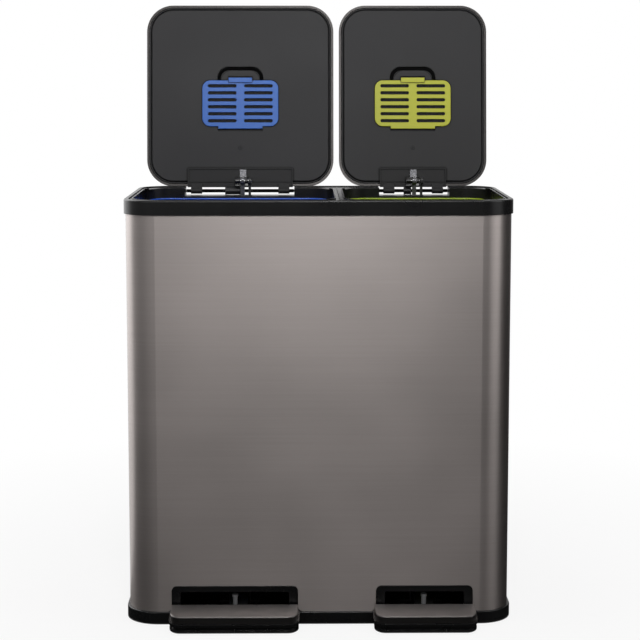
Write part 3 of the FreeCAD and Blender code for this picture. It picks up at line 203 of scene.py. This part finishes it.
class Finish(Tree):
    """A node material around one Principled shader."""

    def __init__(self, name, metallic=0.0, **constants):
        self.material = bpy.data.materials.new(name)
        self.material.use_nodes = True
        super().__init__(self.material.node_tree)
        self.shader = self.tree.nodes["Principled BSDF"]
        self.shader.inputs["Metallic"].default_value = metallic
        for socket, value in constants.items():
            self.shader.inputs[SOCKETS[socket]].default_value = value
        self.coordinates = self.add("TexCoord").outputs["Object"]

    def join(self, output, socket):
        self.tree.links.new(output, self.shader.inputs[socket])

    def surface(self, shader):
        """Puts another shader in the Principled one's place."""
        self.tree.links.new(shader, self.tree.nodes["Material Output"].inputs["Surface"])

    def stretched(self, scale):
        """The object's coordinates, scaled by axis, in cells a metre."""
        return self.add("Mapping", Vector=self.coordinates, Scale=scale).outputs["Vector"]

    def noise(self, scale, detail=3.0, roughness=0.5, vector=None):
        settings = {"Scale": scale, "Detail": detail, "Roughness": roughness}
        return self.add("TexNoise", Vector=vector or self.coordinates, **settings).outputs["Fac"]

    def edge(self, radius):
        """Normals rounded over the sharp edges, and how near an edge is."""
        soft = self.add("Bevel", {"samples": 6}, Radius=radius).outputs["Normal"]
        true = self.add("NewGeometry").outputs["True Normal"]
        alike = self.vector("DOT_PRODUCT", soft, true)["Value"]
        return soft, self.spread(alike, 1.0, 0.0, 0.75, 0.985)

    def crevice_shade(self, colour, reach):
        """Painted shade: the colour darkened where walls stand close by."""
        near = self.add("AmbientOcclusion", {"samples": 8}, Distance=reach).outputs["AO"]
        shade = self.ramp(near, [(0.72, grey(0.05)), (0.97, grey(1.0))])
        return self.blend(1.0, colour, shade, "MULTIPLY")

    def facing(self, way):
        """How far the surface at rest faces one way, from 0 to 1."""
        normal = self.add("TexCoord").outputs["Normal"]
        return self.spread(self.vector("DOT_PRODUCT", normal, way)["Value"], 0.0, 1.0, 0.3, 0.8)

    def bump(self, height, strength, distance, normal=None):
        node = self.add("Bump", Height=height, Strength=strength, Distance=distance)
        if normal is not None:
            self.feed(node.inputs["Normal"], normal)
        return node.outputs["Normal"]


def brushed(name, dark, light, rough, long_way, axis, turn=0.0, edge=0.0006, painted_shade_way=None):
    """Brushed steel: fine lines along one way, soft smudges, and a painted highlight that brightens the
    edges.

    A side that faces the given way gets painted shade: its colour is made dull and dark.
    """
    along = 6.0
    grain = 1500.0
    made = Finish(name, metallic=1.0, anisotropic=0.67, turn=turn)
    fine = [along if way in long_way else grain for way in "XYZ"]
    broad = [along / 3 if way in long_way else grain / 7 for way in "XYZ"]
    lines = made.noise(1.0, 4.0, 0.7, made.stretched(fine))
    wide = made.noise(1.0, 2.0, 0.5, made.stretched(broad))
    smudge = made.noise(4.0, 3.0, 0.55)
    colour = made.ramp(smudge, [(0.25, dark), (0.75, light)])
    shade = made.ramp(lines, [(0.3, grey(0.93)), (0.7, grey(1.0))])
    colour = made.blend(1.0, colour, shade, "MULTIPLY")
    shade = made.ramp(wide, [(0.35, grey(0.975)), (0.65, grey(1.0))])
    colour = made.blend(1.0, colour, shade, "MULTIPLY")
    soft, near = made.edge(edge)
    # painted highlight: the colour brightened near the edges, broken by the lines
    edge_highlight = made.number("MULTIPLY", made.spread(lines, 0.2, 0.6), near)
    bright = tuple(min(1.0, c * 1.7) for c in light)
    colour = made.blend(edge_highlight, colour, bright)
    # painted shade: the colour of a side facing that way is blended to near black
    if painted_shade_way:
        colour = made.blend(made.facing(painted_shade_way), colour, (0.055, 0.052, 0.051))
    made.join(colour, "Base Color")
    made.join(made.spread(smudge, rough - 0.02, rough + 0.03), "Roughness")
    made.join(made.bump(lines, 0.08, 0.00005, soft), "Normal")
    tangent = made.add("Tangent", {"direction_type": "RADIAL", "axis": axis})
    made.join(tangent.outputs["Tangent"], "Tangent")
    return made.material


def moulded(name, dark, light, rough, lift=1.5, specular=0.5, crevice_shade=0.0):
    """Moulded plastic: a fine grain, slow changes of colour and gloss, a painted highlight on the edges and
    painted shade in crevices.
    """
    grain = 3200.0
    made = Finish(name, specular=specular)
    cloud = made.noise(9.0, 4.0, 0.6)
    fine = made.noise(grain, 2.0, 0.5)
    pores = made.add("TexVoronoi", {"feature": "SMOOTH_F1"}, Vector=made.coordinates, Scale=grain / 3)
    colour = made.ramp(cloud, [(0.3, dark), (0.7, light)])
    shade = made.ramp(fine, [(0.3, grey(0.9)), (0.7, grey(1.0))])
    colour = made.blend(1.0, colour, shade, "MULTIPLY")
    soft, near = made.edge(0.0006)
    # painted highlight: the colour paler near the edges
    pale = tuple(min(1.0, c * lift) for c in light)
    colour = made.blend(made.number("MULTIPLY", near, 0.5), colour, pale)
    # painted shade: the colour darkened in crevices
    if crevice_shade:
        colour = made.crevice_shade(colour, crevice_shade)
    made.join(colour, "Base Color")
    made.join(made.spread(cloud, rough - 0.04, rough + 0.05), "Roughness")
    height = made.blend(0.5, fine, pores.outputs["Distance"])
    made.join(made.bump(height, 0.35, 0.00004, soft), "Normal")
    return made.material


def polished(name, dark, light, rough, way, pitch):
    """Turned or drawn bright metal with fine lines along or round it."""
    made = Finish(name, metallic=1.0)
    scale = [pitch if axis == way else 40.0 for axis in "XYZ"]
    lines = made.noise(1.0, 3.0, 0.6, made.stretched(scale))
    spots = made.noise(260.0, 4.0, 0.65)
    soft, _ = made.edge(0.0004)
    made.join(made.ramp(spots, [(0.35, dark), (0.62, light)]), "Base Color")
    made.join(made.spread(lines, rough - 0.06, rough + 0.08), "Roughness")
    made.join(made.bump(lines, 0.2, 0.00004, soft), "Normal")
    return made.material


def rubber(name):
    """Dull black rubber with a little dust."""
    made = Finish(name, specular=0.35)
    fine = made.noise(2600.0, 3.0, 0.6)
    dust = made.noise(60.0, 5.0, 0.7)
    soft, _ = made.edge(0.0005)
    made.join(made.ramp(dust, [(0.4, grey(0.012)), (0.75, (0.045, 0.043, 0.04))]), "Base Color")
    made.join(made.spread(dust, 0.72, 0.9), "Roughness")
    made.join(made.bump(fine, 0.5, 0.00008, soft), "Normal")
    return made.material


def foam(name):
    """Open carbon foam: rounded cells, with painted shade darkening their holes."""
    made = Finish(name, specular=0.2)
    cells = made.add("TexVoronoi", {"feature": "F1"}, Vector=made.coordinates, Scale=620.0)
    gaps = cells.outputs["Distance"]
    # painted shade: the colour darkest in the cells' holes
    made.join(made.ramp(gaps, [(0.1, grey(0.004)), (0.55, (0.035, 0.035, 0.037))]), "Base Color")
    made.join(made.spread(gaps, 0.8, 0.98, 0.0, 0.6), "Roughness")
    made.join(made.bump(gaps, 0.9, 0.0006), "Normal")
    return made.material


def powder(name):
    """Black powder coat with its orange peel."""
    made = Finish(name)
    peel = made.noise(1400.0, 2.0, 0.45)
    cloud = made.noise(30.0, 3.0, 0.5)
    soft, _ = made.edge(0.0005)
    made.join(made.ramp(cloud, [(0.3, (0.005, 0.005, 0.0053)), (0.7, (0.009, 0.009, 0.0095))]), "Base Color")
    made.join(made.spread(peel, 0.3, 0.42), "Roughness")
    made.join(made.bump(peel, 0.4, 0.00006, soft), "Normal")
    return made.material


MATERIAL = {
    "cabinet_steel": brushed(
        "cabinet_steel", (0.34, 0.308, 0.296), (0.372, 0.334, 0.322), 0.42, "XY", "Z", turn=0.25
    ),
    "lid_steel": brushed("lid_steel", (0.3, 0.28, 0.27), (0.33, 0.305, 0.295), 0.42, "X", "X", painted_shade_way=INWARD),
    "pedal_steel": brushed(
        "pedal_steel", (0.2, 0.19, 0.185), (0.23, 0.216, 0.21), 0.36, "X", "X", edge=0.001, painted_shade_way=PEDAL_FRONT
    ),
    "black_plastic": moulded(
        "black_plastic", (0.003, 0.003, 0.0032), (0.0042, 0.0042, 0.0045), 0.28, specular=0.3
    ),
    "lid_plastic": moulded(
        "lid_plastic", (0.025, 0.0247, 0.0262), (0.029, 0.0286, 0.0302), 0.5, specular=0.2, crevice_shade=0.004
    ),
    "lever_plastic": moulded("lever_plastic", grey(0.006), grey(0.009), 0.25),
    "damper_plastic": moulded(
        "damper_plastic", (0.009, 0.009, 0.01), (0.014, 0.014, 0.015), 0.4, specular=0.35
    ),
    "blue_plastic": moulded("blue_plastic", (0.012, 0.085, 0.5), (0.016, 0.1, 0.56), 0.22, lift=1.2),
    "green_plastic": moulded("green_plastic", (0.28, 0.38, 0.012), (0.32, 0.42, 0.016), 0.22, lift=1.2),
    "blue_grille": moulded(
        "blue_grille", (0.022, 0.128, 0.5), (0.027, 0.145, 0.54), 0.4,
        lift=1.3, specular=0.35, crevice_shade=0.003,
    ),
    "green_grille": moulded(
        "green_grille", (0.46, 0.47, 0.022), (0.5, 0.51, 0.028), 0.4,
        lift=1.2, specular=0.35, crevice_shade=0.003,
    ),
    "rubber_black": rubber("rubber_black"),
    "filter_foam": foam("filter_foam"),
    "zinc_steel": polished("zinc_steel", (0.1, 0.1, 0.108), (0.15, 0.15, 0.156), 0.3, "Z", 900.0),
    "pin_steel": polished("pin_steel", grey(0.5), grey(0.62), 0.18, "X", 2500.0),
    "black_steel": powder("black_steel"),
    "grey_plastic": moulded("grey_plastic", (0.17, 0.17, 0.175), (0.2, 0.2, 0.205), 0.45),
}
HINGE = moulded(
    "hinge_plastic", (0.014, 0.0138, 0.0146), (0.017, 0.0168, 0.0176), 0.5, specular=0.2, crevice_shade=0.003
)
# a matte black for the pin sleeve, also laid in the arch groove as painted shade
SLEEVE_AND_SHADE_MATTE = moulded("sleeve", grey(0.004), grey(0.006), 0.6, lift=1.0, specular=0.0)
SLOT = {part["node"]: part["material_slot"] for part in frame["record"]["subparts"]}
for name, node in frame["nodes"].items():
    node.data.materials.clear()
    node.data.materials.append(HINGE if name.endswith("hinge_plate") else MATERIAL[SLOT[name]])


# ---------------------------------------------------------------- added pieces


def piece(name, mesh, body, slot, look=None):
    """Puts an added mesh on a body, in its slot's material or in a look of its own."""
    made = bpy.data.objects.new(name, mesh)
    bpy.context.scene.collection.objects.link(made)
    for face in mesh.polygons:
        face.use_smooth = True
    mesh.materials.append(look or MATERIAL[slot])
    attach(made, body)


def turned(name, profile, base, axis, body, slot, steps=48):
    """A surface turned about an axis, from (radius, height) points in millimetres."""
    mesh = bpy.data.meshes.new(name)
    side = axis.orthogonal().normalized()
    other = axis.cross(side)
    points = []
    faces = []
    for radius, height in profile:
        for i in range(steps):
            angle = 2 * math.pi * i / steps
            around = side * math.cos(angle) + other * math.sin(angle)
            points.append(base + (around * radius + axis * height) * MM)
    for row in range(len(profile) - 1):
        for i in range(steps):
            j = (i + 1) % steps
            faces.append((row * steps + i, row * steps + j, (row + 1) * steps + j, (row + 1) * steps + i))
    mesh.from_pydata(points, [], faces)
    piece(name, mesh, body, slot)


def strand(name, path, radius, body, slot, closed=False, up=INWARD, flat=1.0, look=None, steps=12):
    """A bead along a path of points, with its radius in millimetres, flattened along the up way."""
    mesh = bpy.data.meshes.new(name)
    count = len(path)
    points = []
    faces = []
    for i, here in enumerate(path):
        before = path[(i - 1) % count] if closed or i else here
        after = path[(i + 1) % count] if closed or i < count - 1 else here
        side = (after - before).normalized().cross(up).normalized()
        for k in range(steps):
            angle = 2 * math.pi * k / steps
            points.append(here + (side * math.cos(angle) + up * math.sin(angle) * flat) * radius * MM)
    for i in range(count if closed else count - 1):
        after = ((i + 1) % count) * steps
        for k in range(steps):
            a, b = i * steps + k, i * steps + (k + 1) % steps
            faces.append((a, b, after + (k + 1) % steps, after + k))
    if not closed:
        faces.append(tuple(reversed(range(steps))))
        faces.append(tuple(range((count - 1) * steps, count * steps)))
    mesh.from_pydata(points, [], faces)
    piece(name, mesh, body, slot, look)


def quarter(x, y, corner, start, steps=10):
    """A round corner's points, a quarter turn from a start in degrees."""
    turns = [math.radians(start + 90 * k / steps) for k in range(steps + 1)]
    return [(x + corner * math.cos(angle), y + corner * math.sin(angle)) for angle in turns]


def loop(wide, deep, corner):
    """A rounded rectangle's outline about its middle, from its half sizes, as (x, y) points."""
    outline = []
    for x, y, start in ((1, 1, 0), (-1, 1, 90), (-1, -1, 180), (1, -1, 270)):
        outline += quarter(x * (wide - corner), y * (deep - corner), corner, start)
    return outline


def arch(wide, rise, corner):
    """The upper half of a rounded rectangle, open at its foot, as (x, y) points."""
    outline = [(wide, 0)]
    for x, start in ((1, 0), (-1, 90)):
        outline += quarter(x * (wide - corner), rise - corner, corner, start)
    return outline + [(-wide, 0)]


def panel_gate(side):
    """The moulding gate left in the middle of the lid's panel."""
    base = opened(side, 0, GATE_ALONG, GATE_RISE)
    turned(f"{side}_panel_gate", GATE_PROFILE, base, INWARD, f"{side}_lid", "lid_plastic")


def lid_bead(side):
    """The soft bead in the groove round the lid's panel."""
    wide = half_size(f"{side}_lid_shell").x / MM - BEAD_INSET
    deep = (LID_BACK - LID_FRONT) / 2 - BEAD_INSET
    middle = (LID_BACK + LID_FRONT) / 2
    outline = loop(wide, deep, LID_CORNER - BEAD_INSET)
    path = [opened(side, across, middle + along, BEAD_RISE) for across, along in outline]
    strand(f"{side}_lid_bead", path, BEAD_RADIUS, f"{side}_lid", "lid_plastic", closed=True)


def arch_painted_shade(side):
    """A painted shade: a dark matte strip laid in the arched finger groove over the filter cover's latch,
    where the groove is in shade.
    """
    outline = arch(ARCH_SHADE_HALF, ARCH_SHADE_LONG, ARCH_SHADE_CORNER)
    path = [opened(side, across, ARCH_SHADE_FOOT - along, ARCH_SHADE_RISE) for across, along in outline]
    body = f"{side}_lid"
    strand(f"{side}_arch_painted_shade", path, ARCH_SHADE_RADIUS, body, "lever_plastic", flat=ARCH_SHADE_FLAT, look=SLEEVE_AND_SHADE_MATTE)


def pin_sleeve(side):
    """The sleeve on the hinge pin, between the collar's walls."""
    pin = f"{side}_hinge_pin"
    reach = Vector((half_size(pin).x - SLEEVE_INSET * MM, 0, 0))
    ends = [centre(pin) - reach, centre(pin) + reach]
    strand(f"{side}_pin_sleeve", ends, SLEEVE_RADIUS, f"{side}_lid", "damper_plastic", look=SLEEVE_AND_SHADE_MATTE)


def bucket_lip(side):
    """The rolled lip round the bucket's mouth."""
    bucket = f"{side}_bucket"
    half = half_size(bucket)
    place = centre(bucket) + UP * (half.z - LIP_DROP * MM)
    outline = loop(half.x / MM - LIP_INSET, half.y / MM - LIP_INSET, LIP_CORNER)
    path = [place + Vector((across, along, 0)) * MM for across, along in outline]
    strand(f"{side}_bucket_lip", path, LIP_RADIUS, f"{side}_bucket_body", SLOT[bucket], closed=True, up=UP)


for side in SIDES:
    panel_gate(side)
for side in SIDES:
    lid_bead(side)
    arch_painted_shade(side)
    pin_sleeve(side)
    bucket_lip(side)


# ---------------------------------------------------------------- floor and world


def floor():
    """The pale floor, nearly white where it is seen or mirrored, with the object's shadow."""
    made = Finish("floor", specular=0.2)
    made.shader.inputs["Roughness"].default_value = 0.9
    spots = made.noise(40.0, 3.0, 0.5)
    made.join(made.ramp(spots, [(0.3, grey(0.8)), (0.7, grey(0.83))]), "Base Color")
    away = made.vector("LENGTH", made.coordinates)["Value"]
    share = made.spread(away, 0.86, 1.0, 0.4, 1.2)
    white = made.add("Emission", Color=WHITE, Strength=1.0).outputs[0]
    made.surface(made.either(made.number("MULTIPLY", share, made.seen()), made.shader.outputs[0], white))
    mesh = bpy.data.meshes.new("floor")
    mesh.from_pydata(level(0, FLOOR_REACH), [], [(0, 1, 2, 3)])
    mesh.materials.append(made.material)
    ground = bpy.data.objects.new("floor", mesh)
    bpy.context.scene.collection.objects.link(ground)


def studio():
    """The world: white where it is seen or mirrored, and a soft light on the object."""
    world = bpy.data.worlds.new("studio")
    bpy.context.scene.world = world
    world.use_nodes = True
    world.node_tree.nodes.clear()
    made = Tree(world.node_tree)
    soft = made.add("Background", Color=WHITE, Strength=0.4).outputs[0]
    white = made.add("Background", Color=WHITE, Strength=1.0).outputs[0]
    made.add("OutputWorld", Surface=made.either(made.seen(), soft, white))


# ---------------------------------------------------------------- cards for the reflections


# the round wall's glow at directions in degrees from the front, positive to the object's right;
# GLOW grows with height, and STRIPS is the same from the floor up
GLOW = [
    (-90, 1.2), (-75, 1.2), (-58, 1.3), (-30, 2.2), (-14, 1.6), (0, 1.3), (8, 1.1), (14, 0.7),
    (26, 0.7), (36, 0.9), (44, 2.6), (72, 2.6), (80, 0.4), (100, 0.2), (125, 0.2), (150, 0.6),
    (180, 1.0), (215, 1.0), (225, 2.6), (256, 2.6), (264, 1.4), (270, 1.2),
]
STRIPS = [
    (-90, 0.3), (-62, 0.15), (-40, 0.06), (36, 0.04), (44, 0.5), (70, 0.5), (78, 0.03), (130, 0.03),
    (160, 0.4), (200, 0.6), (212, 1.5), (257, 1.5), (265, 0.4), (270, 0.3),
]


def reflected_only(made, corners, faces):
    """Puts a glowing surface on the stage for reflections alone."""
    mesh = bpy.data.meshes.new(made.material.name)
    mesh.from_pydata(corners, [], faces)
    mesh.materials.append(made.material)
    item = bpy.data.objects.new(mesh.name, mesh)
    bpy.context.scene.collection.objects.link(item)
    item.visible_camera = False
    item.visible_diffuse = False
    item.visible_transmission = False
    item.visible_shadow = False


def surround(steps=96):
    """The round wall, its glow set by direction and height."""
    made = Finish("surround")
    turn = made.add("TexGradient", {"gradient_type": "RADIAL"}, Vector=made.coordinates).outputs["Fac"]
    glow, strips = (
        made.ramp(turn, [(0.25 + degrees / 360, grey(strength)) for degrees, strength in table])
        for table in (GLOW, STRIPS)
    )
    height = made.add("SeparateXYZ", Vector=made.coordinates).outputs["Z"]
    rise = made.spread(height, 0.04, 1.0, 0.35, 1.7)
    power = made.number("ADD", made.number("MULTIPLY", glow, rise), strips)
    made.surface(made.add("Emission", Strength=power).outputs[0])
    corners = []
    faces = []
    for i in range(steps):
        angle = 2 * math.pi * i / steps
        across, along = WALL_REACH * math.cos(angle), WALL_REACH * math.sin(angle)
        corners += [(across, along, z) for z in (0, WALL_HEIGHT)]
        j = (i + 1) % steps
        faces.append((2 * i, 2 * j, 2 * j + 1, 2 * i + 1))
    reflected_only(made, corners, faces)


def card(name, corners, dark, bright, place, reach):
    """A flat card, brightest at a place and dark at its reach along each axis."""
    made = Finish(name)
    gap = made.vector("SUBTRACT", made.coordinates, place)["Vector"]
    away = made.vector("DIVIDE", gap, reach)["Vector"]
    length = made.vector("LENGTH", away)["Value"]
    glow = made.spread(length, bright, dark, 0.0, 1.0, "SMOOTHSTEP")
    made.surface(made.add("Emission", Strength=glow).outputs[0])
    reflected_only(made, corners, [tuple(range(len(corners)))])


def fan(start, end, steps=4):
    """The corners of a level wedge on the floor between two directions, in degrees from the front."""
    corners = [(0, 0, CLOTH_HEIGHT)]
    for k in range(steps + 1):
        angle = math.radians(start + (end - start) * k / steps)
        corners.append((WALL_REACH * math.sin(angle), -WALL_REACH * math.cos(angle), CLOTH_HEIGHT))
    return corners


def level(z, half):
    """The corners of a level square at a height."""
    return [(-half, -half, z), (half, -half, z), (half, half, z), (-half, half, z)]


# ---------------------------------------------------------------- lamps and camera


def softbox(name, place, target, size, power):
    """A rectangular lamp at a place, turned to a target."""
    data = bpy.data.lights.new(name, "AREA")
    data.shape = "RECTANGLE"
    data.size, data.size_y = size
    data.energy = power
    lamp = bpy.data.objects.new(name, data)
    bpy.context.scene.collection.objects.link(lamp)
    lamp.location = place
    lamp.rotation_euler = (Vector(target) - Vector(place)).to_track_quat("-Z", "Y").to_euler()


def camera():
    """The photograph's camera, fitted to edges measured in it."""
    data = bpy.data.cameras.new("camera")
    data.lens = 96.88
    data.sensor_width = 36
    data.sensor_fit = "HORIZONTAL"
    data.shift_y = -0.08
    data.clip_end = 200
    viewer = bpy.data.objects.new("camera", data)
    bpy.context.scene.collection.objects.link(viewer)
    viewer.location = (-0.0248, -2.6462, 0.8196)
    look_down, look_right = math.radians(6.588), math.radians(0.605)
    viewer.rotation_euler = (math.pi / 2 - look_down, 0, -look_right)
    bpy.context.scene.camera = viewer


floor()
studio()
surround()
card("top_card", level(WALL_HEIGHT, WALL_REACH), 0.1, 0.5, (0, -1.0, WALL_HEIGHT), (2.0, 2.0, 1))
card("front_cloth", fan(-93, 66), 0.03, 0.12, (0, -2.0, 0), (1.5, 1.2, 1))
card("right_cloth", fan(66, 150), 0.02, 0.03, (2.0, 0, 0), (1.5, 1.5, 1))
softbox("key", (0.04, -1.95, 1.58), (0, -0.1, 0.6), (0.34, 0.5), 16)
softbox("left", (-1.9, 0.85, 0.9), (-0.2, 0, 0.5), (0.9, 1.4), 4)
softbox("right", (1.88, -0.8, 0.9), (0.2, 0, 0.5), (0.8, 1.4), 4)
softbox("top", (0, -0.15, 2.2), (0, 0, 0.6), (1.3, 0.5), 7)
camera()
bpy.context.scene.view_settings.view_transform = "Standard"
